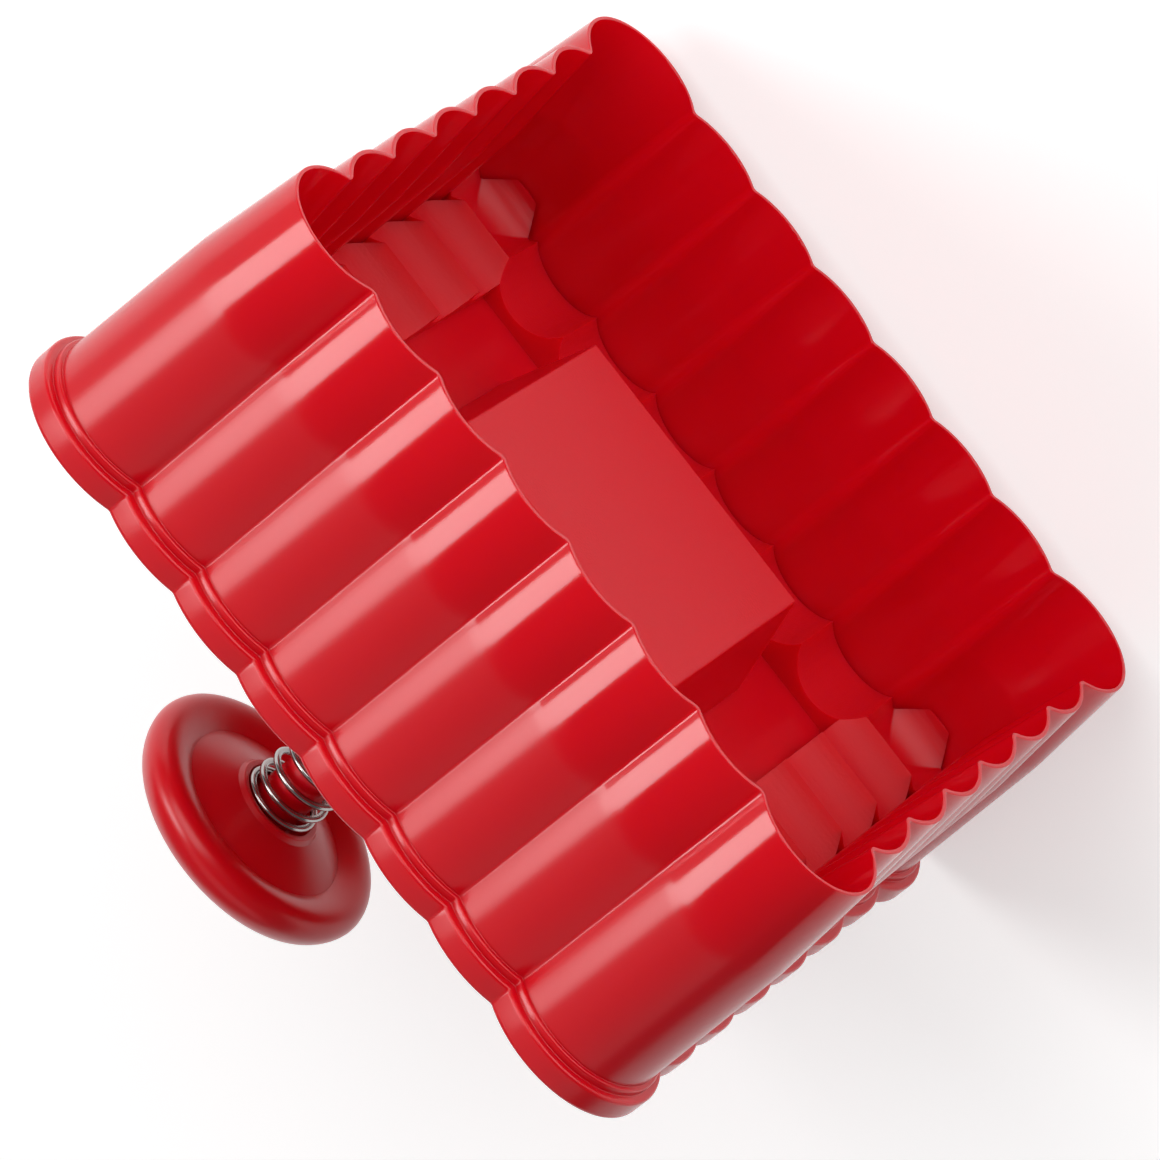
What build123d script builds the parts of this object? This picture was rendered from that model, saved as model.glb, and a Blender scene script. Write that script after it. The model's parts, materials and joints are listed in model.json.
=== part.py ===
from build123d import *
from math import cos, hypot, pi, sin, sqrt, tau
import os

# Fluted outline: equal round lobes at one pitch round a square, corner lobes included
flute_pitch = 9.4
side_flutes = 6
lobe_overlap = 0.6
groove_softening = 0.45
quarter_turn = 90

# Cutter skirt, standing on its cutting edge at height zero
skirt_depth = 30.6
edge_reach = 1.55
wall_reach = 2.8
root_reach = 3.25
corner_reach = 0.95
edge_thickness = 0.45
edge_taper_height = 12.0
cavity_softening = 1.55
flange_thickness = 2.7
flange_reach = 1.4
flange_softening = 0.45
ledge_reach = 0.45
ledge_height = 0.8
deck_thickness = 1.8
collar_wall = 2.32
collar_gap = 1.3
spring_seat_depth = 0.6

# Embossing stamp
stamp_clearance = 0.35
rest_gap = 0.3
stamp_rim_depth = 6.5
floor_thickness = 2.0
ring_width = 8.55
moat_width = 8.2
block_lean = 3.1
block_height = 12.2
block_edge_softening = 0.35
block_wall = 2.0
scoop_overlap = 0.5
scoop_step = 1.2
cup_softening_radius = 8.9
ring_rise = 4.1
pocket_wall = 1.95
pocket_corner_radius = 6.0
boss_wall = 2.36
boss_floor_thickness = 2.4

# Plunger stem and its screw
stem_radius = 2.6
guide_clearance = 0.08
seat_clearance = 0.04
stem_seat_depth = 3.6
stem_chamfer = 0.4
screw_radius = 1.25
screw_length = 11.0
screw_head_radius = 2.6
screw_head_height = 1.7
screw_slot_width = 0.6
screw_slot_depth = 0.8
screw_hole_clearance = 0.1

# Knob and its cap
knob_radius = 14.0
knob_rim_rise = 3.6
knob_boss_margin = 0.7
knob_boss_step = 0.35
knob_seat_depth = 1.9
dish_rise = 0.5
roll_inset = 2.1
roll_drop = 2.3
crease_inset = 2.4
crease_rise = 1.0
shoulder_inset = 2.8
shoulder_drop = 1.6
knob_web_thickness = 1.2
cap_gap = 0.2
cap_thickness = 1.5
cap_margin = 3.0
cap_clearance = 0.04

# Return spring, and how far it lets the knob be pressed
stroke = 19.0
pressed_gap = 9.3
spring_wire = 0.73
spring_play = 0.67
spring_turns = 12
spring_lead_in_radius = 0.85
closing_share = 0.094
closing_power = 8
spans_per_turn = 4
gap_points_per_span = 12

# Room that cutting shapes run past the faces they cut
overrun = 1.0

half_pitch = flute_pitch / 2
corner_centre = (side_flutes + 1) / 2 * flute_pitch
stamp_lobe_radius = half_pitch + lobe_overlap
inner_lobe_radius = stamp_lobe_radius + stamp_clearance
edge_lobe_radius = inner_lobe_radius + edge_reach
wall_lobe_radius = inner_lobe_radius + wall_reach
root_lobe_radius = inner_lobe_radius + root_reach
stamp_groove = corner_centre + sqrt(stamp_lobe_radius ** 2 - half_pitch ** 2)

deck_back = skirt_depth + flange_thickness
deck_inner = deck_back - deck_thickness
stamp_back = deck_inner - rest_gap
moat_floor_height = stamp_back - stamp_rim_depth
pocket_floor_height = moat_floor_height + floor_thickness
collar_end_height = pocket_floor_height + collar_gap
block_face_height = moat_floor_height - block_height
scoop_radius = half_pitch + scoop_overlap
scoop_trough_height = moat_floor_height - scoop_step
ring_front_height = scoop_trough_height - ring_rise
moat_half = stamp_groove - ring_width
pocket_half = stamp_groove - pocket_wall
block_foot_half = moat_half - moat_width
block_face_half = block_foot_half - block_lean

spring_outer_radius = stem_radius + spring_play + spring_wire
spring_mean_radius = spring_outer_radius - spring_wire / 2
spring_seat_height = deck_back - spring_seat_depth
collar_radius = stem_radius + guide_clearance + collar_wall
boss_radius = stem_radius + seat_clearance + boss_wall

knob_boss_height = deck_back + stroke + pressed_gap
knob_boss_radius = spring_outer_radius + knob_boss_margin
spring_head_height = knob_boss_height + knob_seat_depth
stem_foot_height = block_face_height + block_wall + boss_floor_thickness
stem_tip_height = knob_boss_height + stem_seat_depth
knob_web_height = stem_tip_height + knob_web_thickness
cap_seat_height = knob_web_height + screw_head_height + cap_gap
cap_radius = screw_head_radius + cap_margin
knob_crown_height = cap_seat_height + cap_thickness
knob_rim_height = knob_boss_height + knob_rim_rise
dish_inner_height = knob_boss_height + dish_rise
rim_roll_radius = knob_radius - roll_inset
rim_roll_height = knob_rim_height - roll_drop
crease_radius = rim_roll_radius - crease_inset
crease_height = rim_roll_height + crease_rise
knob_shoulder_radius = knob_radius - shoulder_inset
knob_shoulder_height = knob_crown_height - shoulder_drop


def fluted_face(radius, softening, corner_shift=0):
    """Face inside the lobes: grooves rounded by the softening, corner lobes shifted out along both sides"""
    groove = corner_centre + sqrt(radius ** 2 - half_pitch ** 2)
    crest = corner_centre + radius
    corner = corner_centre + corner_shift
    diagonal = corner + hypot(half_pitch + corner_shift, groove - corner) / sqrt(2)
    outline = []
    for side in range(4):
        for flute in range(side_flutes):
            start = (flute - side_flutes / 2) * flute_pitch
            lobe = ThreePointArc((start, groove), (start + half_pitch, crest), (start + flute_pitch, groove))
            outline.append(lobe.rotate(Axis.Z, -side * quarter_turn))
        last_groove = side_flutes / 2 * flute_pitch
        corner_lobe = ThreePointArc((last_groove, groove), (diagonal, diagonal), (groove, last_groove))
        outline.append(corner_lobe.rotate(Axis.Z, -side * quarter_turn))
    face = make_face(Wire(outline))
    if softening:
        face = fillet(face.vertices(), softening)
    return face


def prism(face, low, high):
    """The face as a straight solid between two heights"""
    return extrude(Pos(0, 0, low) * face, high - low)


def disc(radius, low, high):
    """Round bar on the axis between two heights"""
    return extrude(Pos(0, 0, low) * Circle(radius), high - low)


def square_taper(low_half, high_half, low, high):
    """Four-sided block on the axis that tapers between two heights"""
    return loft([Pos(0, 0, low) * Rectangle(2 * low_half, 2 * low_half),
                 Pos(0, 0, high) * Rectangle(2 * high_half, 2 * high_half)])


def cutter_skirt():
    """Fluted wall with its cutting edge, flange, deck and guide collar in one moulding"""
    edge_outline = fluted_face(edge_lobe_radius, groove_softening, corner_reach)
    wall_outline = Pos(0, 0, edge_taper_height) * fluted_face(wall_lobe_radius, groove_softening, corner_reach)
    root_outline = Pos(0, 0, deck_back) * fluted_face(root_lobe_radius, groove_softening, corner_reach)
    wall = loft([edge_outline, wall_outline]) + loft([wall_outline, root_outline])
    ledge_outline = fluted_face(root_lobe_radius + ledge_reach, groove_softening, corner_reach)
    ledge = prism(ledge_outline, skirt_depth - ledge_height, deck_back)
    flange = prism(fluted_face(root_lobe_radius + flange_reach, groove_softening, corner_reach), skirt_depth, deck_back)
    flange = fillet(flange.edges().group_by(Axis.Z)[0] + flange.edges().group_by(Axis.Z)[-1], flange_softening)
    inner = fluted_face(inner_lobe_radius, cavity_softening)
    edge = fluted_face(edge_lobe_radius - edge_thickness, groove_softening + edge_thickness, corner_reach)
    cavity = prism(inner, -overrun, deck_inner)
    taper = loft([edge, Pos(0, 0, edge_taper_height) * inner])
    body = wall + ledge + flange - cavity - taper
    body += disc(collar_radius, collar_end_height, deck_inner)
    body -= disc(stem_radius + guide_clearance, collar_end_height - overrun, deck_back + overrun)
    body -= disc(spring_outer_radius + guide_clearance, spring_seat_height, deck_back + overrun)
    return body


def scoop(centre):
    """Round trough across the ring on the +X side, at a distance along that side"""
    start = moat_half - overrun
    end = corner_centre + stamp_lobe_radius + overrun
    bar = extrude(Plane.YZ * Circle(scoop_radius), end - start)
    return Pos(start, centre, scoop_trough_height - scoop_radius) * bar


def corner_cup():
    """Closed round hollow in a corner lobe: two crossed scoops, their creases eased by wider troughs on the diagonals"""
    cup = scoop(corner_centre) & Rot(0, 0, quarter_turn) * scoop(-corner_centre)
    trough = extrude(Plane.YZ * Circle(cup_softening_radius), cup_softening_radius, both=True)
    middle = Pos(corner_centre, corner_centre, scoop_trough_height - cup_softening_radius)
    for direction in (quarter_turn / 2, -quarter_turn / 2):
        cup &= middle * Rot(0, 0, direction) * trough
    return cup


def embossing_stamp():
    """Sliding stamp: centre block, moat and a ring whose front is cut by one scoop for each lobe"""
    body = prism(fluted_face(stamp_lobe_radius, 0), ring_front_height, stamp_back)
    body -= prism(Rectangle(2 * moat_half, 2 * moat_half), ring_front_height - overrun, moat_floor_height)
    cup = corner_cup()
    for side in range(4):
        turn = Rot(0, 0, side * quarter_turn)
        for flute in range(side_flutes):
            body -= turn * scoop((flute - (side_flutes - 1) / 2) * flute_pitch)
        body -= turn * cup
    block = square_taper(block_face_half, block_foot_half, block_face_height, moat_floor_height)
    block = fillet(block.edges().group_by(Axis.Z)[0], block_edge_softening)
    body += block
    pocket = RectangleRounded(2 * pocket_half, 2 * pocket_half, pocket_corner_radius)
    body -= prism(pocket, pocket_floor_height, stamp_back + overrun)
    hollow_floor = block_face_height + block_wall
    hollow_low = block_face_half - block_wall
    hollow_high = block_foot_half - block_wall
    body -= square_taper(hollow_low, hollow_high, hollow_floor, pocket_floor_height)
    body += disc(boss_radius, hollow_floor, pocket_floor_height)
    body -= disc(stem_radius + seat_clearance, stem_foot_height, pocket_floor_height + overrun)
    return body


def plunger_stem():
    """Rod from the stamp's boss to the knob, with a pilot hole for the screw"""
    rod = disc(stem_radius, stem_foot_height, stem_tip_height)
    rod = chamfer(rod.edges().group_by(Axis.Z)[-1], stem_chamfer)
    pilot_depth = screw_length + screw_hole_clearance
    return rod - disc(screw_radius + screw_hole_clearance, stem_tip_height - pilot_depth, stem_tip_height + overrun)


def knob_envelope():
    """Mushroom shape: rolled rim, dished underside, boss for the spring, domed crown"""
    dish = Line((crease_radius, crease_height), (knob_boss_radius + knob_boss_step, dish_inner_height))
    step = Line(dish @ 1, (knob_boss_radius, knob_boss_height))
    base = Line(step @ 1, (0, knob_boss_height))
    axis_line = Line(base @ 1, (0, knob_crown_height))
    crown = TangentArc(axis_line @ 1, (knob_shoulder_radius, knob_shoulder_height), tangent=(1, 0))
    rim_top = TangentArc(crown @ 1, (knob_radius, knob_rim_height), tangent=crown % 1)
    rim_low = TangentArc(rim_top @ 1, (rim_roll_radius, rim_roll_height), tangent=rim_top % 1)
    roll = TangentArc(rim_low @ 1, (crease_radius, crease_height), tangent=rim_low % 1)
    outline = Wire([dish, step, base, axis_line, crown, rim_top, rim_low, roll])
    return revolve(Plane.XZ * make_face(outline), Axis.Z)


def knob():
    """Knob with its seat for the spring, socket for the stem, web for the screw and recess for the cap"""
    body = knob_envelope()
    body -= disc(spring_outer_radius + guide_clearance, knob_boss_height - overrun, spring_head_height)
    body -= disc(stem_radius + seat_clearance, knob_boss_height - overrun, stem_tip_height)
    body -= disc(screw_radius + screw_hole_clearance, stem_tip_height - overrun, knob_web_height + overrun)
    body -= disc(screw_head_radius + screw_hole_clearance, knob_web_height, knob_crown_height + overrun)
    body -= disc(cap_radius + cap_clearance, cap_seat_height, knob_crown_height + overrun)
    return body


def knob_screw():
    """Pan-head screw through the knob's web into the stem"""
    shank = disc(screw_radius, stem_tip_height - screw_length, knob_web_height)
    head = disc(screw_head_radius, knob_web_height, knob_web_height + screw_head_height)
    slot_floor = knob_web_height + screw_head_height - screw_slot_depth
    slot = prism(Rectangle(3 * screw_head_radius, screw_slot_width), slot_floor, knob_web_height + 2 * screw_head_height)
    return shank + head - slot


def knob_cap():
    """Cap that closes the recess and carries on the knob's crown"""
    return knob_envelope() & disc(cap_radius, cap_seat_height, knob_crown_height + overrun)


def biarc(start, start_tangent, end, end_tangent):
    """Two arcs that join two points and meet both tangents and each other"""
    chord = end - start
    both = start_tangent + end_tangent
    bend = 2 * (1 - start_tangent.dot(end_tangent))
    along = chord.dot(both)
    arm = (sqrt(along ** 2 + bend * chord.dot(chord)) - along) / bend
    first_pole = start + start_tangent * arm
    second_pole = end - end_tangent * arm
    joint = (first_pole + second_pole) * 0.5
    joint_tangent = (second_pole - first_pole).normalized()
    first = TangentArc(start, joint, tangent=start_tangent)
    second = TangentArc(joint, end, tangent=joint_tangent)
    return [first, second]


def spring_height(turn, low, high):
    """Height of the wire's centre after a number of turns: an even climb that closes up at the knob's end"""
    share = turn / spring_turns
    rise_share = (1 + closing_share) * share - closing_share * share ** closing_power
    return low + (high - low) * rise_share


def spring_point(turn, low, high):
    """Centre of the wire after a number of turns"""
    angle = turn * tau
    return Vector(spring_mean_radius * cos(angle), spring_mean_radius * sin(angle), spring_height(turn, low, high))


def spring_tangent(turn, low, high):
    """Direction of the wire after a number of turns"""
    step = 1 / (spans_per_turn * gap_points_per_span)
    rise = (spring_height(turn + step, low, high) - spring_height(turn - step, low, high)) / (2 * step)
    angle = turn * tau
    around = spring_mean_radius * tau
    return Vector(-around * sin(angle), around * cos(angle), rise).normalized()


def return_spring():
    """One unbroken wire: a straight end square to each seat, a lead-in bend and the coils between"""
    low = spring_seat_height + spring_wire + spring_lead_in_radius
    high = spring_head_height - spring_wire - spring_lead_in_radius
    spans = spring_turns * spans_per_turn
    up = Vector(0, 0, 1)
    first = spring_point(0, low, high)
    first_tangent = spring_tangent(0, low, high)
    last = spring_point(spring_turns, low, high)
    last_tangent = spring_tangent(spring_turns, low, high)
    foot_top = Vector(first.X, first.Y - spring_lead_in_radius, spring_seat_height + spring_wire)
    head_low = Vector(last.X, last.Y + spring_lead_in_radius, spring_head_height - spring_wire)
    route = [Line(foot_top - up * spring_wire, foot_top)]
    route += biarc(foot_top, up, first, first_tangent)
    for span in range(spans):
        a, b = span / spans_per_turn, (span + 1) / spans_per_turn
        route += biarc(spring_point(a, low, high), spring_tangent(a, low, high),
                       spring_point(b, low, high), spring_tangent(b, low, high))
    route += biarc(last, last_tangent, head_low, up)
    route.append(Line(head_low, head_low + up * spring_wire))
    path = Wire(route)
    section = Plane(route[0] @ 0, z_dir=up) * Circle(spring_wire / 2)
    wire = sweep(section, path=path)
    print("return_spring volume over section times length:",
          round(wire.volume / (pi * spring_wire ** 2 / 4 * path.length), 4))
    print("return_spring least gap to itself:", round(least_gap(path, spans), 3), "mm")
    return Rot(0, 0, quarter_turn) * wire


def least_gap(path, spans):
    """Least distance between stretches of the wire that are half a turn or more apart, less the wire"""
    count = spans * gap_points_per_span
    points = [path @ (index / count) for index in range(count + 1)]
    apart = spans_per_turn * gap_points_per_span // 2
    nearest = min(hypot(a.X - b.X, a.Y - b.Y, a.Z - b.Z)
                  for index, a in enumerate(points) for b in points[index + apart:])
    return nearest - spring_wire


os.makedirs("parts", exist_ok=True)
for make in (cutter_skirt, embossing_stamp, plunger_stem, knob, knob_screw, knob_cap, return_spring):
    export_step(make(), f"parts/{make.__name__}.step")
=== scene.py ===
import json

import bmesh
import bpy
import numpy as np
from mathutils import Matrix, Vector

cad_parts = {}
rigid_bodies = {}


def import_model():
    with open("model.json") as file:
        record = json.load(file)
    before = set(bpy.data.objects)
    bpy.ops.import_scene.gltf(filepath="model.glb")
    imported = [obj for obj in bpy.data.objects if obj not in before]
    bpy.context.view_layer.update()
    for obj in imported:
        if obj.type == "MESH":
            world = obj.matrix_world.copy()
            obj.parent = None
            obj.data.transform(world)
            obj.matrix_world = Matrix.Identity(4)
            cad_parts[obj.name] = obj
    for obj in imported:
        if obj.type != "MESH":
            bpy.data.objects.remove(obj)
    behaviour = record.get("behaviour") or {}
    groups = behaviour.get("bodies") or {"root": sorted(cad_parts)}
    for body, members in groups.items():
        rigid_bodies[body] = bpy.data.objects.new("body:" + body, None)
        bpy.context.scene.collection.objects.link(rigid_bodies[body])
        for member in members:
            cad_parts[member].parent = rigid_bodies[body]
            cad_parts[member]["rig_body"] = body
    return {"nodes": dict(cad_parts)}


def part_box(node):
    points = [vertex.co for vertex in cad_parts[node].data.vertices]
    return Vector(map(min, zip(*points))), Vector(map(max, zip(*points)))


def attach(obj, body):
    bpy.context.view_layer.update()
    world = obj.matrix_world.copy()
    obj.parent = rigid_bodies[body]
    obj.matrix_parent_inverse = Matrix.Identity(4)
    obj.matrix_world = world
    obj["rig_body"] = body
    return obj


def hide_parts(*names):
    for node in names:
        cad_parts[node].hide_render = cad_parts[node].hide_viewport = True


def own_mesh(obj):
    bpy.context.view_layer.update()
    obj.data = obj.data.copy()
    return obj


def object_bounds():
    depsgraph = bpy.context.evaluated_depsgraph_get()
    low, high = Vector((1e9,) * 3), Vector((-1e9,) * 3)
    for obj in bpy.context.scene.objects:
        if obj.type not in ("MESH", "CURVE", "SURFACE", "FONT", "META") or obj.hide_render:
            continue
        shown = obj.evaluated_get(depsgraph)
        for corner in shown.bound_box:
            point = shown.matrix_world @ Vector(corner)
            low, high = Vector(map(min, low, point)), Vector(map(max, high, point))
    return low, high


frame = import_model()
cad_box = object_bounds()

# All lengths below are millimetres, and MM makes them metres
MM = 0.001

# Fluted outline: round lobes at one pitch round a square, and a larger lobe at each corner
FLUTE_PITCH = 9.4
SIDE_FLUTES = 6
HALF_PITCH = FLUTE_PITCH / 2
CORNER_CENTRE = (SIDE_FLUTES + 1) / 2 * FLUTE_PITCH

# Cutter skirt
SKIRT_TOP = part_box("cutter_skirt")[1].z / MM
FLANGE_THICKNESS = 2.7
FLANGE_FRONT = SKIRT_TOP - FLANGE_THICKNESS
LEDGE_HEIGHT = 0.8
CAVITY_LOBE = 5.65
MOUTH_LOBE = 6.75
EDGE_LOBE = 7.2
WALL_LOBE = 8.45
ROOT_LOBE = 8.9
LEDGE_REACH = 0.45
LEDGE_LOBE = ROOT_LOBE + LEDGE_REACH
FLANGE_REACH = 1.4
FLANGE_LOBE = ROOT_LOBE + FLANGE_REACH
TAPER_HEIGHT = 12.0
CORNER_REACH = 0.95
CAVITY_SOFTENING = 1.55
MOUTH_SOFTENING = 0.9
GROOVE_SOFTENING = 0.45
DECK_THICKNESS = 1.8
DECK_INNER = SKIRT_TOP - DECK_THICKNESS
COLLAR_RADIUS = 5.0
COLLAR_LENGTH = 3.5
SPRING_SEAT_DEPTH = 0.6
DECK_RIM = 2.0
CAVITY_RIM = 0.6
COLLAR_RIM = 1.0
FLANGE_BACK_ROUNDING = 0.5
FLANGE_FRONT_ROUNDING = 0.35
LEDGE_ROUNDING = 0.22
WALL_BEND = 20.0
EDGE_ROUNDING = 0.12
CAVITY_BEND = 10.0
DECK_ROUNDING = 0.5
COLLAR_FOOT_ROUNDING = 0.4
COLLAR_END_ROUNDING = 0.3
BORE_ROUNDING = 0.2
SEAT_ROUNDING = 0.25
FINE_ROUNDING = 0.1

# Embossing stamp
BLOCK_FACE_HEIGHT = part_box("embossing_stamp")[0].z / MM
MOAT_HALF = 26.8
CUP_START = SIDE_FLUTES / 2 * FLUTE_PITCH

# Stem, knob and spring
STEM_RADIUS = 2.6
GUIDE_CLEARANCE = 0.08
KNOB_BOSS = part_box("knob")[0].z / MM
KNOB_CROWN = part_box("knob_cap")[1].z / MM
SPRING_WIRE = 0.73
SPRING_OUTER_RADIUS = 4.0
SPRING_TURNS = 12
SPRING_LEAD_IN = 0.85
CLOSING_SHARE = 0.094
CLOSING_POWER = 8
SPRING_SEAT = SKIRT_TOP - SPRING_SEAT_DEPTH
KNOB_SEAT_DEPTH = 1.9
SPRING_HEAD = KNOB_BOSS + KNOB_SEAT_DEPTH
SEAT_CLEARANCE = 0.04
KNOB_RADIUS = 14.0
KNOB_RIM_RISE = 3.6
KNOB_RIM = KNOB_BOSS + KNOB_RIM_RISE
KNOB_BOSS_WALL = 0.7
KNOB_BOSS_RADIUS = SPRING_OUTER_RADIUS + KNOB_BOSS_WALL
KNOB_BOSS_STEP = 0.35
DISH_RISE = 0.5
DISH_INNER = KNOB_BOSS + DISH_RISE
ROLL_WIDTH = 2.1
ROLL_RADIUS = KNOB_RADIUS - ROLL_WIDTH
ROLL_DROP = 2.3
ROLL_HEIGHT = KNOB_RIM - ROLL_DROP
CREASE_WIDTH = 2.4
CREASE_RADIUS = ROLL_RADIUS - CREASE_WIDTH
CREASE_RISE = 1.0
CREASE_HEIGHT = ROLL_HEIGHT + CREASE_RISE
SHOULDER_WIDTH = 2.8
KNOB_SHOULDER_RADIUS = KNOB_RADIUS - SHOULDER_WIDTH
SHOULDER_DROP = 1.6
KNOB_SHOULDER = KNOB_CROWN - SHOULDER_DROP
STEM_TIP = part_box("plunger_stem")[1].z / MM
STEM_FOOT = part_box("plunger_stem")[0].z / MM
STEM_END_ROUNDING = 0.3
SCREW_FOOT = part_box("knob_screw")[0].z / MM
SCREW_HOLE = 1.35
SCREW_HOLE_END_GAP = 0.1
SCREW_HEAD_RECESS = 2.7
KNOB_WEB_THICKNESS = 1.2
KNOB_WEB = STEM_TIP + KNOB_WEB_THICKNESS
CAP_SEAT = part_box("knob_cap")[0].z / MM
CAP_RECESS = 5.64
BOSS_ROUNDING = 0.15

# How finely the surfaces are drawn
LOBE_STEPS = 22
CORNER_STEPS = 60
GROOVE_STEPS = 5
ROUND_STEPS = 5
TURN_STEPS = 160
WIRE_SIDES = 16
COIL_STEPS = 48
LEAD_STEPS = 7
KNOB_ARC_STEPS = 10
MERGE_DISTANCE = 0.0005

# Shading and broken edges: angles in degrees, bevels as widths
SHARP_ANGLE = 35
FLAT_ANGLE = 0.5
BEVEL_SEGMENTS = 2
STAMP_BEVEL = 0.12
CAP_BEVEL = 0.1
SCREW_BEVEL = 0.05

# The photograph's view: where the camera stands, what it looks at, and how it is rolled
CAMERA_PLACE = (-33.33, -714.50, -349.99)
CAMERA_AIM = (-1.745, -1.562, 20.554)
CAMERA_ROLL = -129.03
CAMERA_LENS = 265.9
CAMERA_SENSOR = 36
CAMERA_REACH = 10000

# Studio
PART_CENTRE = (0, 0, 17)
TABLE_SIZE = 4000
TABLE_GAP = 0.1
PAPER_SHADE = (0.8, 0.8, 0.8)
PAPER_GLOW = 0.45
WORLD_LIGHT = 0.12

# Red plastic: its colour, mottling and the light that it lets through
RED = (0.70, 0.001, 0.010)
TONE_SHARE = 0.94
FLOW_SCALE = 60.0
FLOW_DETAIL = 3.0
PLASTIC_IOR = 1.5
GLOW_WEIGHT = 0.6
GLOW_SPREAD = (1.0, 0.05, 0.03)
GLOW_DEPTH = 3.0

# Polished mouldings: the heights between which the skirt's gloss changes, and their finish
POLISH_LOW = 8.0
POLISH_HIGH = 14.0
MOUTH_ROUGHNESS = 0.13
WALL_ROUGHNESS = 0.24
KNOB_ROUGHNESS = 0.3
POLISHED_SHINE = 0.5
POLISHED_VARIATION = 0.05
GRAIN_SCALE = 2500.0
GRAIN_DETAIL = 2.0
GRAIN_DEPTH = 0.002

# Stamp: matte and pitted on the block's face and round the ring, smooth elsewhere
STAMP_SHINE = 0.3
SMOOTH_ROUGHNESS = 0.3
MATTE_GAIN = 0.2
STAMP_VARIATION = 0.06
MASK_EASE = 0.1
FACE_EASE = 0.4
PIT_SCALE = 3200.0
PIT_DETAIL = 3.0
PIT_DEPTH = 0.03

# Steel of the spring and the screw
STEEL = (0.42, 0.40, 0.39)
STEEL_ROUGHNESS = 0.18
STEEL_VARIATION = 0.2
STREAK_SCALE = 900.0
STREAK_DETAIL = 2.0

# Middle of a noise, which leaves a roughness as it is
NOISE_MIDDLE = 0.5

# Lamps: name, direction from the part, distance, width, height and brightness
LAMPS = (
    ("key_strip", (0.611, -0.729, 0.309), 600, 321, 190, 7.0),
    ("top_light", (0.42, -0.80, -0.42), 650, 500, 500, 2.4),
    ("mouth_light", (-0.20, -0.25, -0.95), 600, 500, 500, 2.2),
    ("upper_card", (-0.30, -0.72, 0.64), 600, 900, 330, 0.4),
    ("side_card", (0.90, -0.25, 0.35), 600, 400, 330, 0.5),
)


class Wire:
    """A shader socket that takes part in Python expressions"""

    def __init__(self, tree, socket):
        self.tree, self.socket = tree, socket

    def node(self, kind, settings=None, inputs=None, output=0):
        """A node of that kind, its settings made first, then the values or links of its sockets"""
        made = self.tree.nodes.new(kind)
        for name, value in (settings or {}).items():
            setattr(made, name, value)
        for name, value in (inputs or {}).items():
            if isinstance(value, Wire):
                self.tree.links.new(value.socket, made.inputs[name])
            else:
                made.inputs[name].default_value = value
        return Wire(self.tree, made.outputs[output])

    def math(self, operation, *values):
        return self.node("ShaderNodeMath", {"operation": operation}, dict(enumerate(values)))

    def ramp(self, start, end, low, high):
        """Smooth change from low to high as this value goes from start to end"""
        return self.node("ShaderNodeMapRange", {"interpolation_type": "SMOOTHSTEP"},
                         {"Value": self, "From Min": start, "From Max": end, "To Min": low, "To Max": high})

    def noise(self, scale, detail):
        """Noise over these coordinates, from 0 to 1"""
        return self.node("ShaderNodeTexNoise", {}, {"Vector": self, "Scale": scale, "Detail": detail})

    def bump(self, depth):
        """Surface normal of this height, one unit of it being the depth in millimetres"""
        return self.node("ShaderNodeBump", {}, {"Strength": 1.0, "Distance": depth * MM, "Height": self})

    def into(self, shader, name):
        self.tree.links.new(self.socket, shader.inputs[name])

    def __add__(self, other):
        return self.math("ADD", self, other)

    def __mul__(self, other):
        return self.math("MULTIPLY", self, other)

    def __sub__(self, other):
        return self.math("SUBTRACT", self, other)


def turned(points, angle):
    """The points turned about the axis by an angle"""
    c, s = np.cos(angle), np.sin(angle)
    return points @ np.array([[c, s], [-s, c]])


def arc(centre, radius, start, end, steps):
    """Points on a circle from one angle to another, both ends included"""
    angle = np.linspace(start, end, steps + 1)
    return np.stack([centre[0] + radius * np.cos(angle), centre[1] + radius * np.sin(angle)], axis=1)


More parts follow.
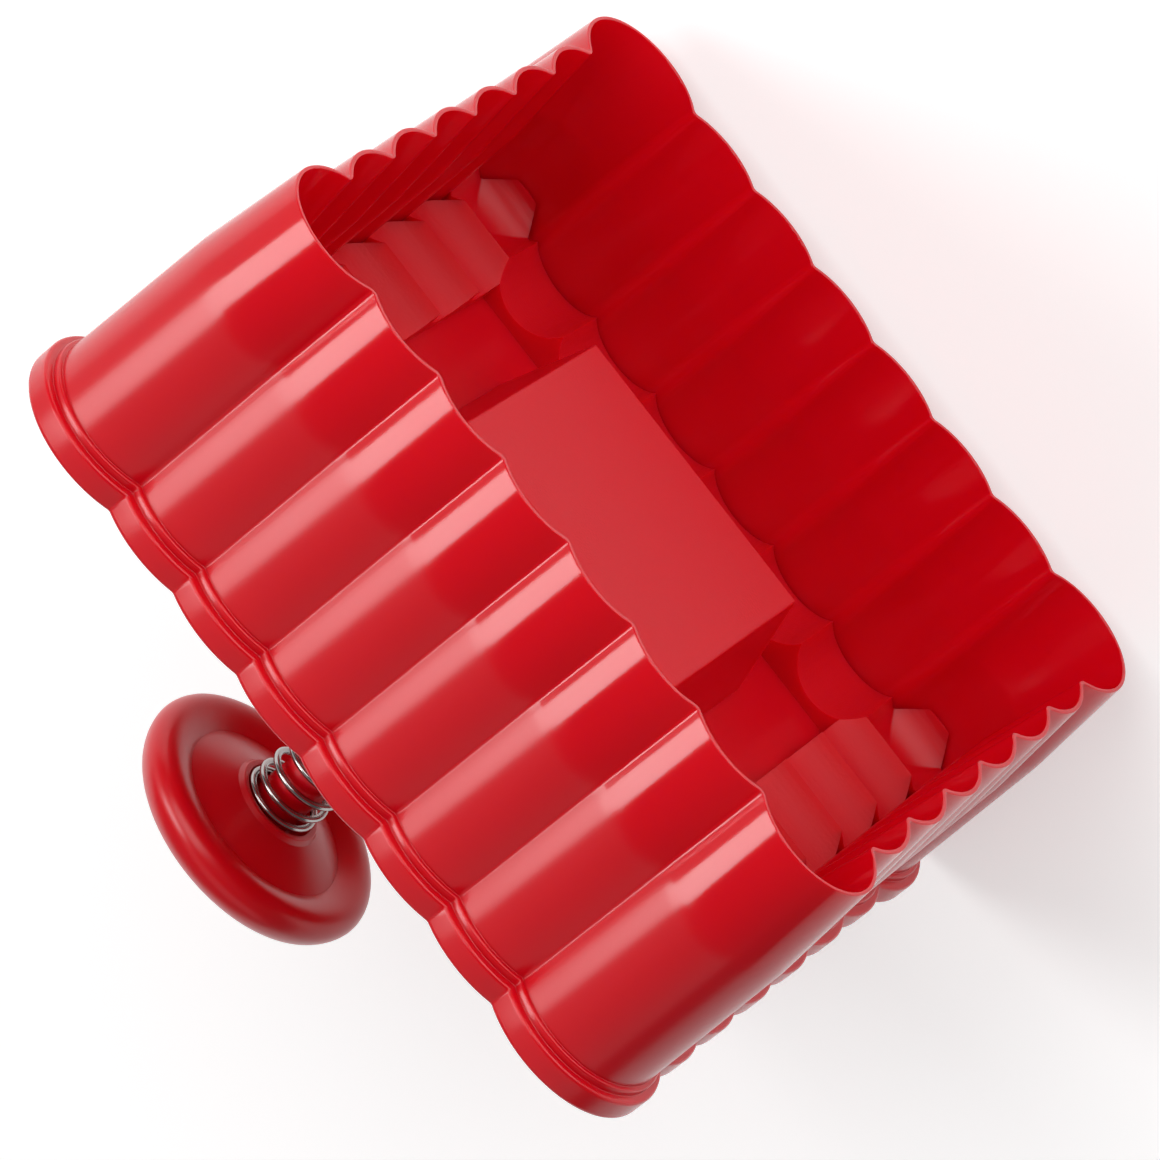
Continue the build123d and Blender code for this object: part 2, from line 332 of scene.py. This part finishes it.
def outline(radius, softening, corner_shift):
    """Closed outline of the flutes at one height: side lobes of that radius, and corner lobes shifted out
    along both sides that meet them in the same grooves. Each groove is a small arc tangent to the two lobes
    beside it, so its centre lies a lobe's radius plus its own from each of their centres."""
    corner = CORNER_CENTRE + corner_shift
    groove = CORNER_CENTRE + np.sqrt(radius ** 2 - HALF_PITCH ** 2)
    corner_radius = np.hypot(HALF_PITCH + corner_shift, groove - corner)
    side = [((lobe - SIDE_FLUTES / 2) * FLUTE_PITCH + HALF_PITCH, CORNER_CENTRE)
            for lobe in range(SIDE_FLUTES)]
    side = np.array(side + [(corner, corner)])
    lobes = np.concatenate([turned(side, -quarter * np.pi / 2) for quarter in range(4)])
    radii = np.array(([radius] * SIDE_FLUTES + [corner_radius]) * 4)
    steps = ([LOBE_STEPS] * SIDE_FLUTES + [CORNER_STEPS]) * 4
    to_next = np.roll(lobes, -1, axis=0) - lobes
    distance = np.linalg.norm(to_next, axis=1)
    reach, next_reach = radii + softening, np.roll(radii, -1) + softening
    along = (distance ** 2 + reach ** 2 - next_reach ** 2) / (2 * distance)
    ahead = to_next / distance[:, None]
    outward = np.stack([-ahead[:, 1], ahead[:, 0]], axis=1)
    grooves = lobes + along[:, None] * ahead + np.sqrt(reach ** 2 - along ** 2)[:, None] * outward
    points = []
    for index, lobe in enumerate(lobes):
        start = np.arctan2(*(grooves[index - 1] - lobe)[::-1])
        end = np.arctan2(*(grooves[index] - lobe)[::-1])
        sweep = (start - end) % (2 * np.pi)
        points.append(arc(lobe, radii[index], start, start - sweep, steps[index])[:-1])
        start = np.arctan2(*(lobe - grooves[index])[::-1])
        end = np.arctan2(*(lobes[(index + 1) % len(lobes)] - grooves[index])[::-1])
        sweep = (end - start) % (2 * np.pi)
        points.append(arc(grooves[index], softening, start, start + sweep, GROOVE_STEPS)[:-1])
    return np.concatenate(points)


def lobed_ring(radius, height):
    """The fluted outline of that lobe radius at a height. Inside, its grooves grow softer and its corners
    come in."""
    softening = np.interp(radius, (CAVITY_LOBE, MOUTH_LOBE, EDGE_LOBE),
                          (CAVITY_SOFTENING, MOUTH_SOFTENING, GROOVE_SOFTENING))
    flat = outline(radius, softening, np.interp(radius, (CAVITY_LOBE, MOUTH_LOBE), (0, CORNER_REACH)))
    return np.column_stack([flat, np.full(len(flat), height)])


def round_ring(radius, height):
    """A circle at a height, its points facing those of the fluted outline"""
    flat = outline(EDGE_LOBE, GROOVE_SOFTENING, CORNER_REACH)
    flat = flat / np.linalg.norm(flat, axis=1)[:, None] * radius
    return np.column_stack([flat, np.full(len(flat), height)])


def rounded_profile(corners):
    """Points along a run of corners (radius, height, rounding), each inner corner cut by an arc of its
    rounding. The arc touches both runs at rounding / tan(half the corner's angle) from the corner."""
    points = [np.array([corners[0][:2]])]
    for before, corner, after in zip(corners, corners[1:], corners[2:]):
        place = np.array(corner[:2])
        to_before = np.array(before[:2]) - place
        to_after = np.array(after[:2]) - place
        to_before = to_before / np.linalg.norm(to_before)
        to_after = to_after / np.linalg.norm(to_after)
        half = np.arccos(to_before @ to_after) / 2
        bisector = (to_before + to_after) / np.linalg.norm(to_before + to_after)
        centre = place + bisector * corner[2] / np.sin(half)
        start = place + to_before * corner[2] / np.tan(half) - centre
        end = place + to_after * corner[2] / np.tan(half) - centre
        share = np.linspace(0, 1, ROUND_STEPS + 1)[:, None]
        swing = np.pi - 2 * half
        spoke = (np.sin((1 - share) * swing) * start + np.sin(share * swing) * end) / np.sin(swing)
        points.append(centre + spoke)
    points.append(np.array([corners[-1][:2]]))
    return np.concatenate(points)


def grid_faces(rows, columns, wrap_rows, wrap_columns):
    """Quads between neighbouring points of a grid, round to the first row or column where it closes"""
    row = np.arange(rows if wrap_rows else rows - 1)
    column = np.arange(columns if wrap_columns else columns - 1)
    r, c = np.meshgrid(row, column, indexing="ij")
    r_next, c_next = (r + 1) % rows, (c + 1) % columns
    here, there = r * columns, r_next * columns
    quads = np.stack([here + c, here + c_next, there + c_next, there + c], axis=-1)
    return quads.reshape(-1, 4)


def settle(mesh):
    """Merges doubles, turns faces outwards, and shades smooth up to the sharp angle"""
    work = bmesh.new()
    work.from_mesh(mesh)
    bmesh.ops.remove_doubles(work, verts=work.verts, dist=MERGE_DISTANCE * MM)
    bmesh.ops.recalc_face_normals(work, faces=work.faces)
    work.to_mesh(mesh)
    work.free()
    mesh.shade_smooth()
    mesh.set_sharp_from_angle(angle=np.radians(SHARP_ANGLE))


def place_piece(name, mesh, node, material):
    """Puts a finished mesh on its body in place of the CAD node that it stands for"""
    made = bpy.data.objects.new(name, mesh)
    bpy.context.scene.collection.objects.link(made)
    mesh.materials.clear()
    mesh.materials.append(material)
    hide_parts(node)
    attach(made, frame["nodes"][node]["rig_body"])
    return made


def surface_piece(name, points, faces, node, material):
    """A piece from points in millimetres and faces"""
    mesh = bpy.data.meshes.new(name)
    mesh.from_pydata((points * MM).tolist(), [], faces.tolist())
    settle(mesh)
    made = place_piece(name, mesh, node, material)
    made.modifiers.new("even_normals", "WEIGHTED_NORMAL").keep_sharp = True
    return made


def skirt(material):
    """Fluted skirt: fluted outlines from the deck's edge over flange and wall to the cutting edge and back
    up inside, then circles round the guide collar and its bore, closed into one ring of sections."""
    ledge_front = FLANGE_FRONT - LEDGE_HEIGHT
    wall_end = np.interp(ledge_front, (TAPER_HEIGHT, SKIRT_TOP), (WALL_LOBE, ROOT_LOBE))
    outside = rounded_profile([
        (FLANGE_LOBE - DECK_RIM, SKIRT_TOP, 0), (FLANGE_LOBE, SKIRT_TOP, FLANGE_BACK_ROUNDING),
        (FLANGE_LOBE, FLANGE_FRONT, FLANGE_FRONT_ROUNDING), (LEDGE_LOBE, FLANGE_FRONT, FINE_ROUNDING),
        (LEDGE_LOBE, ledge_front, LEDGE_ROUNDING), (wall_end, ledge_front, FINE_ROUNDING),
        (WALL_LOBE, TAPER_HEIGHT, WALL_BEND), (EDGE_LOBE, 0, EDGE_ROUNDING), (MOUTH_LOBE, 0, EDGE_ROUNDING),
        (CAVITY_LOBE, TAPER_HEIGHT, CAVITY_BEND), (CAVITY_LOBE, DECK_INNER, DECK_ROUNDING),
        (CAVITY_LOBE - CAVITY_RIM, DECK_INNER, 0)])
    bore = STEM_RADIUS + GUIDE_CLEARANCE
    seat = SPRING_OUTER_RADIUS + GUIDE_CLEARANCE
    collar_end = DECK_INNER - COLLAR_LENGTH
    inside = rounded_profile([
        (COLLAR_RADIUS + COLLAR_RIM, DECK_INNER, 0), (COLLAR_RADIUS, DECK_INNER, COLLAR_FOOT_ROUNDING),
        (COLLAR_RADIUS, collar_end, COLLAR_END_ROUNDING), (bore, collar_end, BORE_ROUNDING),
        (bore, SPRING_SEAT, FINE_ROUNDING), (seat, SPRING_SEAT, FINE_ROUNDING),
        (seat, SKIRT_TOP, SEAT_ROUNDING), (seat + COLLAR_RIM, SKIRT_TOP, 0)])
    rings = [lobed_ring(radius, height) for radius, height in outside]
    rings += [round_ring(radius, height) for radius, height in inside]
    rings = np.array(rings)
    return surface_piece("fluted_skirt", rings.reshape(-1, 3), grid_faces(*rings.shape[:2], True, True),
                         "cutter_skirt", material)


def turned_piece(name, profile, node, material):
    """A profile of (radius, height) turned about the axis; its ends lie on the axis or meet each other"""
    angle = np.linspace(0, 2 * np.pi, TURN_STEPS, endpoint=False)
    radius, height = profile[:, 0, None], profile[:, 1, None]
    points = np.stack([radius * np.cos(angle), radius * np.sin(angle), height + 0 * angle], axis=-1)
    faces = grid_faces(*points.shape[:2], False, True)
    return surface_piece(name, points.reshape(-1, 3), faces, node, material)


def stem_profile():
    """Stem from its foot up its side to its tip, and down the screw's pilot hole"""
    hole_end = SCREW_FOOT - SCREW_HOLE_END_GAP
    return rounded_profile([(0, STEM_FOOT, 0), (STEM_RADIUS, STEM_FOOT, STEM_END_ROUNDING),
                            (STEM_RADIUS, STEM_TIP, STEM_END_ROUNDING), (SCREW_HOLE, STEM_TIP, 0),
                            (SCREW_HOLE, hole_end, 0), (0, hole_end, 0)])


def spring(material):
    """Coil spring: a round wire whose centre climbs with its share t of the turns as
    low + (high - low) * ((1 + c) * t - c * t ** n), with a quarter bend and a straight end on each seat."""
    mean = SPRING_OUTER_RADIUS - SPRING_WIRE / 2
    low = SPRING_SEAT + SPRING_WIRE + SPRING_LEAD_IN
    high = SPRING_HEAD - SPRING_WIRE - SPRING_LEAD_IN
    share = np.linspace(0, 1, SPRING_TURNS * COIL_STEPS + 1)
    angle = share * SPRING_TURNS * 2 * np.pi
    climb = low + (high - low) * ((1 + CLOSING_SHARE) * share - CLOSING_SHARE * share ** CLOSING_POWER)
    coil = np.stack([mean * np.cos(angle), mean * np.sin(angle), climb], axis=1)
    bend = np.linspace(0, np.pi / 2, LEAD_STEPS, endpoint=False)
    foot = np.stack([0 * bend + mean, -SPRING_LEAD_IN * np.cos(bend),
                     low - SPRING_LEAD_IN * (1 - np.sin(bend))], axis=1)
    foot = np.concatenate([[[mean, -SPRING_LEAD_IN, SPRING_SEAT]], foot])
    head = foot[::-1] * [1, -1, -1] + [0, 0, SPRING_HEAD + SPRING_SEAT]
    centre = np.concatenate([foot, coil, head])
    along = np.gradient(centre, axis=0)
    along[0] = along[-1] = (0, 0, 1)
    along /= np.linalg.norm(along, axis=1)[:, None]
    turn = np.concatenate([np.zeros(len(foot)), angle, np.zeros(len(head))])
    outward = np.stack([np.cos(turn), np.sin(turn), 0 * turn], axis=1)
    outward -= along * np.sum(outward * along, axis=1)[:, None]
    outward /= np.linalg.norm(outward, axis=1)[:, None]
    across = np.cross(along, outward)
    around = np.linspace(0, 2 * np.pi, WIRE_SIDES, endpoint=False)[None, :, None]
    spokes = np.cos(around) * outward[:, None] + np.sin(around) * across[:, None]
    points = centre[:, None] + SPRING_WIRE / 2 * spokes
    points = np.concatenate([np.repeat(centre[None, :1], WIRE_SIDES, axis=1), points,
                             np.repeat(centre[None, -1:], WIRE_SIDES, axis=1)])
    faces = grid_faces(*points.shape[:2], False, True)
    points = points.reshape(-1, 3)
    points[:, :2] = turned(points[:, :2], np.pi / 2)
    return surface_piece("coil_spring", points, faces, "return_spring", material)


def tangent_arc(start, heading, end):
    """Points of the arc that leaves a point along a heading and reaches another, and its heading there.
    Its radius is the chord squared over twice the chord's reach across the heading."""
    start, heading, end = np.array(start), np.array(heading) / np.linalg.norm(heading), np.array(end)
    across = np.array([-heading[1], heading[0]])
    chord = end - start
    radius = chord @ chord / (2 * chord @ across)
    swing = 2 * np.arctan2(chord @ across, chord @ heading)
    angle = np.linspace(0, swing, KNOB_ARC_STEPS + 1)[:, None]
    points = start + radius * (np.sin(angle) * heading + (1 - np.cos(angle)) * across)
    return points, np.cos(swing) * heading + np.sin(swing) * across


def knob_profile():
    """Knob in section: from the rim of the cap's recess over the crown, the rolled rim, the crease, the dish
    and the boss, then up the spring's seat, the stem's bore, the screw's hole and the recesses of its head
    and of the cap, back to the start."""
    step = KNOB_BOSS_RADIUS + KNOB_BOSS_STEP
    crown, heading = tangent_arc((0, KNOB_CROWN), (1, 0), (KNOB_SHOULDER_RADIUS, KNOB_SHOULDER))
    rim_top, heading = tangent_arc(crown[-1], heading, (KNOB_RADIUS, KNOB_RIM))
    rim_low, heading = tangent_arc(rim_top[-1], heading, (ROLL_RADIUS, ROLL_HEIGHT))
    roll, _ = tangent_arc(rim_low[-1], heading, (CREASE_RADIUS, CREASE_HEIGHT))
    recess_rim = (CAP_RECESS, np.interp(CAP_RECESS, crown[:, 0], crown[:, 1]))
    crown = np.concatenate([[recess_rim], crown[crown[:, 0] > CAP_RECESS]])
    bore = STEM_RADIUS + SEAT_CLEARANCE
    seat = SPRING_OUTER_RADIUS + GUIDE_CLEARANCE
    inside = rounded_profile([
        (CREASE_RADIUS, CREASE_HEIGHT, 0), (step, DISH_INNER, BOSS_ROUNDING),
        (KNOB_BOSS_RADIUS, KNOB_BOSS, BOSS_ROUNDING), (seat, KNOB_BOSS, BOSS_ROUNDING),
        (seat, SPRING_HEAD, FINE_ROUNDING), (bore, SPRING_HEAD, FINE_ROUNDING), (bore, STEM_TIP, 0),
        (SCREW_HOLE, STEM_TIP, 0), (SCREW_HOLE, KNOB_WEB, 0), (SCREW_HEAD_RECESS, KNOB_WEB, 0),
        (SCREW_HEAD_RECESS, CAP_SEAT, 0), (CAP_RECESS, CAP_SEAT, 0), (*recess_rim, 0)])
    return np.concatenate([crown, rim_top[1:], rim_low[1:], roll[1:], inside[1:]])


def dressed_copy(name, node, material, bevel):
    """A CAD node's own surfaces, joined into clean faces, with its edges broken by a small bevel"""
    mesh = frame["nodes"][node].data.copy()
    mesh.name = name
    work = bmesh.new()
    work.from_mesh(mesh)
    bmesh.ops.remove_doubles(work, verts=work.verts, dist=MERGE_DISTANCE * MM)
    bmesh.ops.dissolve_limit(work, angle_limit=np.radians(FLAT_ANGLE), verts=work.verts, edges=work.edges)
    work.to_mesh(mesh)
    work.free()
    settle(mesh)
    made = place_piece(name, mesh, node, material)
    edge = made.modifiers.new("broken_edges", "BEVEL")
    edge.width = bevel * MM
    edge.segments = BEVEL_SEGMENTS
    edge.limit_method = "ANGLE"
    edge.angle_limit = np.radians(SHARP_ANGLE)
    made.modifiers.new("even_normals", "WEIGHTED_NORMAL").keep_sharp = True


def new_material(name):
    """A node material with its principled shader, and a starting wire on the object's own coordinates"""
    made = bpy.data.materials.new(name)
    made.use_nodes = True
    shader = made.node_tree.nodes["Principled BSDF"]
    start = Wire(made.node_tree, None)
    place = start.node("ShaderNodeTexCoord", output="Object")
    return made, shader, place


def red_plastic(name, colour, shine):
    """Moulded red plastic with a faint flow mottling in its colour, which lets a little light through.
    Returns the material, its shader, the mottling and the object's own coordinates."""
    made, shader, place = new_material(name)
    flow = place.noise(FLOW_SCALE, FLOW_DETAIL)
    deep = tuple(channel * TONE_SHARE for channel in colour)
    tone = place.node("ShaderNodeMix", {"data_type": "RGBA"},
                      {0: flow, 6: (*deep, 1), 7: (*colour, 1)}, output=2)
    tone.into(shader, "Base Color")
    shader.inputs["IOR"].default_value = PLASTIC_IOR
    shader.inputs["Specular IOR Level"].default_value = shine
    shader.inputs["Subsurface Weight"].default_value = GLOW_WEIGHT
    shader.inputs["Subsurface Radius"].default_value = GLOW_SPREAD
    shader.inputs["Subsurface Scale"].default_value = GLOW_DEPTH * MM
    return made, shader, flow, place


def polished_red(name, colour, mouth_roughness, roughness):
    """Glossy red, shinier near the cutting edge than further up, with a very fine skin grain"""
    made, shader, flow, place = red_plastic(name, colour, POLISHED_SHINE)
    height = place.node("ShaderNodeSeparateXYZ", {}, {"Vector": place}, output="Z")
    gloss = height.ramp(POLISH_LOW * MM, POLISH_HIGH * MM, mouth_roughness, roughness)
    (gloss + (flow - NOISE_MIDDLE) * POLISHED_VARIATION).into(shader, "Roughness")
    grain = place.noise(GRAIN_SCALE, GRAIN_DETAIL)
    grain.bump(GRAIN_DEPTH).into(shader, "Normal")
    return made


def sparked_red(name, colour):
    """Red of the stamp: spark-eroded and matte on the block's face and round the ring, smoother elsewhere"""
    made, shader, flow, place = red_plastic(name, colour, STAMP_SHINE)
    side = place.node("ShaderNodeVectorMath", {"operation": "ABSOLUTE"}, {0: place})
    across, along = (side.node("ShaderNodeSeparateXYZ", {}, {"Vector": side}, output=axis) for axis in "XY")
    height = place.node("ShaderNodeSeparateXYZ", {}, {"Vector": place}, output="Z")
    far, near = (side.math(choice, across, along) for choice in ("MAXIMUM", "MINIMUM"))
    ring = far.ramp((MOAT_HALF - MASK_EASE) * MM, (MOAT_HALF + MASK_EASE) * MM, 0, 1)
    no_cup = near.ramp((CUP_START - MASK_EASE) * MM, (CUP_START + MASK_EASE) * MM, 1, 0)
    face = height.ramp((BLOCK_FACE_HEIGHT + MASK_EASE) * MM, (BLOCK_FACE_HEIGHT + FACE_EASE) * MM, 1, 0)
    matte = face.math("MAXIMUM", ring * no_cup, face)
    pits = place.noise(PIT_SCALE, PIT_DETAIL)
    roughness = matte * MATTE_GAIN + SMOOTH_ROUGHNESS + (flow - NOISE_MIDDLE) * STAMP_VARIATION
    roughness.into(shader, "Roughness")
    (matte * pits).bump(PIT_DEPTH).into(shader, "Normal")
    return made


def steel(name, colour, roughness):
    """Bright wire: metal with faint drawn streaks"""
    made, shader, place = new_material(name)
    streaks = place.noise(STREAK_SCALE, STREAK_DETAIL)
    ((streaks - NOISE_MIDDLE) * STEEL_VARIATION + roughness).into(shader, "Roughness")
    shader.inputs["Base Color"].default_value = (*colour, 1)
    shader.inputs["Metallic"].default_value = 1.0
    return made


def aim(thing, place, target, roll=0.0):
    """Stands a lamp or the camera at a place, facing a target, turned about its line of sight by degrees"""
    sight = Vector(target) - Vector(place)
    turn = sight.to_track_quat("-Z", "Y").to_matrix().to_4x4() @ Matrix.Rotation(np.radians(roll), 4, "Z")
    thing.matrix_world = Matrix.Translation(Vector(place) * MM) @ turn


def softbox(name, direction, distance, width, height, brightness):
    """A rectangular lamp that faces the part. Its power is its brightness times its area times pi."""
    lamp = bpy.data.lights.new(name, "AREA")
    lamp.shape = "RECTANGLE"
    lamp.size, lamp.size_y = width * MM, height * MM
    lamp.energy = brightness * width * height * MM * MM * np.pi
    made = bpy.data.objects.new(name, lamp)
    bpy.context.scene.collection.objects.link(made)
    centre = Vector(PART_CENTRE)
    aim(made, centre + Vector(direction).normalized() * distance, centre)


def table(material):
    """The pale table that the cutter lies on, behind its +Y side"""
    bpy.ops.mesh.primitive_plane_add(size=TABLE_SIZE * MM)
    made = bpy.context.object
    made.name = "table"
    made.rotation_euler = (np.pi / 2, 0, 0)
    made.location = (0, cad_box[1].y + TABLE_GAP * MM, 0)
    made.data.materials.append(material)


def table_paper():
    """White paper that glows only to the eye and in reflections, and is clear from behind"""
    made = bpy.data.materials.new("table_paper")
    made.use_nodes = True
    tree = made.node_tree
    tree.nodes.clear()
    start = Wire(tree, None)
    behind = start.node("ShaderNodeNewGeometry", output="Backfacing")
    eye, mirror = (start.node("ShaderNodeLightPath", output=ray)
                   for ray in ("Is Camera Ray", "Is Glossy Ray"))
    paper = start.node("ShaderNodeBsdfDiffuse", {}, {"Color": (*PAPER_SHADE, 1)})
    glowing = start.node("ShaderNodeBsdfPrincipled", {}, {
        "Base Color": (*PAPER_SHADE, 1), "Roughness": 1.0, "Specular IOR Level": 0.0,
        "Emission Color": (1, 1, 1, 1), "Emission Strength": PAPER_GLOW})
    seen = eye.math("MAXIMUM", eye, mirror)
    front = start.node("ShaderNodeMixShader", {}, {0: seen, 1: paper, 2: glowing})
    clear = start.node("ShaderNodeBsdfTransparent")
    mixed = start.node("ShaderNodeMixShader", {}, {0: behind, 1: front, 2: clear})
    out = tree.nodes.new("ShaderNodeOutputMaterial")
    mixed.into(out, "Surface")
    return made


def studio_world():
    """Even faint white light from all sides"""
    world = bpy.data.worlds.new("studio")
    world.use_nodes = True
    shade = world.node_tree.nodes["Background"]
    shade.inputs["Color"].default_value = (1, 1, 1, 1)
    shade.inputs["Strength"].default_value = WORLD_LIGHT
    bpy.context.scene.world = world


bpy.context.scene.view_settings.view_transform = "Standard"

gloss_red = polished_red("gloss_red", RED, MOUTH_ROUGHNESS, WALL_ROUGHNESS)
knob_red = polished_red("knob_red", RED, KNOB_ROUGHNESS, KNOB_ROUGHNESS)
satin_red = sparked_red("satin_red", RED)
wire_steel = steel("wire_steel", STEEL, STEEL_ROUGHNESS)

skirt(gloss_red)
dressed_copy("stamp", "embossing_stamp", satin_red, STAMP_BEVEL)
turned_piece("knob_body", knob_profile(), "knob", knob_red)
turned_piece("stem_rod", stem_profile(), "plunger_stem", gloss_red)
dressed_copy("cap", "knob_cap", knob_red, CAP_BEVEL)
dressed_copy("screw", "knob_screw", wire_steel, SCREW_BEVEL)
coil = spring(wire_steel)
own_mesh(coil)

camera = bpy.data.objects.new("camera", bpy.data.cameras.new("camera"))
bpy.context.scene.collection.objects.link(camera)
camera.data.lens = CAMERA_LENS
camera.data.sensor_width = CAMERA_SENSOR
camera.data.clip_end = CAMERA_REACH * MM
aim(camera, CAMERA_PLACE, CAMERA_AIM, CAMERA_ROLL)
bpy.context.scene.camera = camera

table(table_paper())
studio_world()
for lamp in LAMPS:
    softbox(*lamp)
